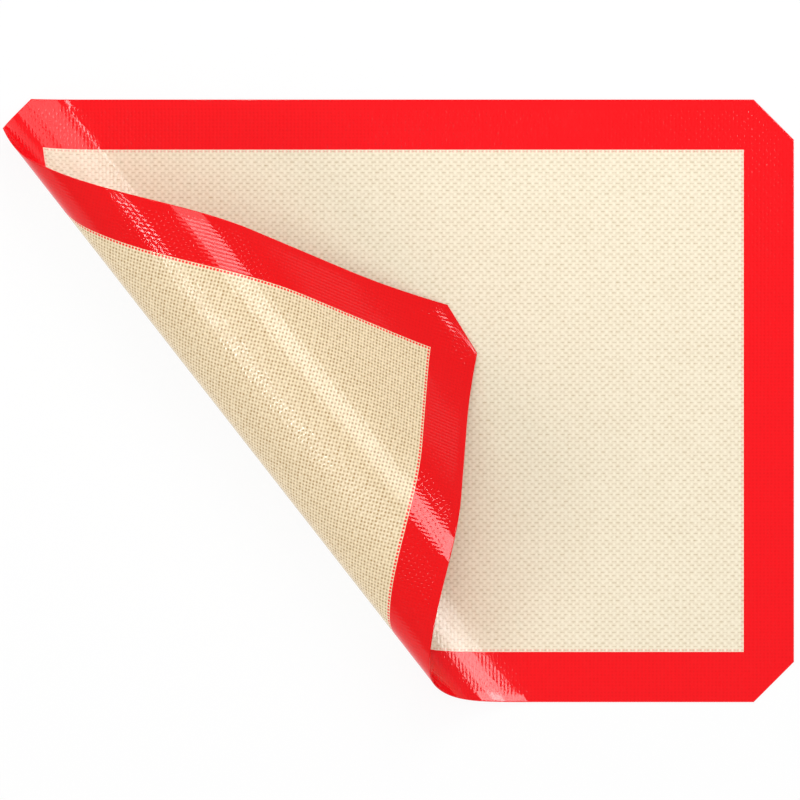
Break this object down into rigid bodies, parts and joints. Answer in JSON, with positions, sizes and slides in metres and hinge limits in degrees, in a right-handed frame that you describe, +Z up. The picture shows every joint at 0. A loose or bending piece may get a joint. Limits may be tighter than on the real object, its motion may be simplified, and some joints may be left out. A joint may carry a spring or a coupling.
{
  "type": "silicone baking mat",
  "caption": "Thin rectangular silicone baking mat with a woven glass core, cut-off corners and a red border, with a corner rolled back over the sheet.",
  "frame": {"origin": "on the table, under the centre of the mat as it would lie flat", "axes": "+X along the long side, away from the rolled corner; +Y along the short side, away from the rolled corner; +Z up"},
  "size_m": [0.3933, 0.3002, 0.0564],
  "materials": {
    "glass_cloth": "plain woven glass cloth, sealed inside the silicone",
    "cream_silicone": "thin cream silicone with the weave showing through, half matt",
    "red_silicone": "bright red silicone, half gloss, with the weave showing in its highlights"
  },
  "bodies": {
    "root": {"glass_fabric": "glass_cloth", "edge_seal": "red_silicone", "upper_coat": "cream_silicone", "upper_border": "red_silicone", "lower_coat": "cream_silicone", "lower_border": "red_silicone"}
  },
  "joints": []
}
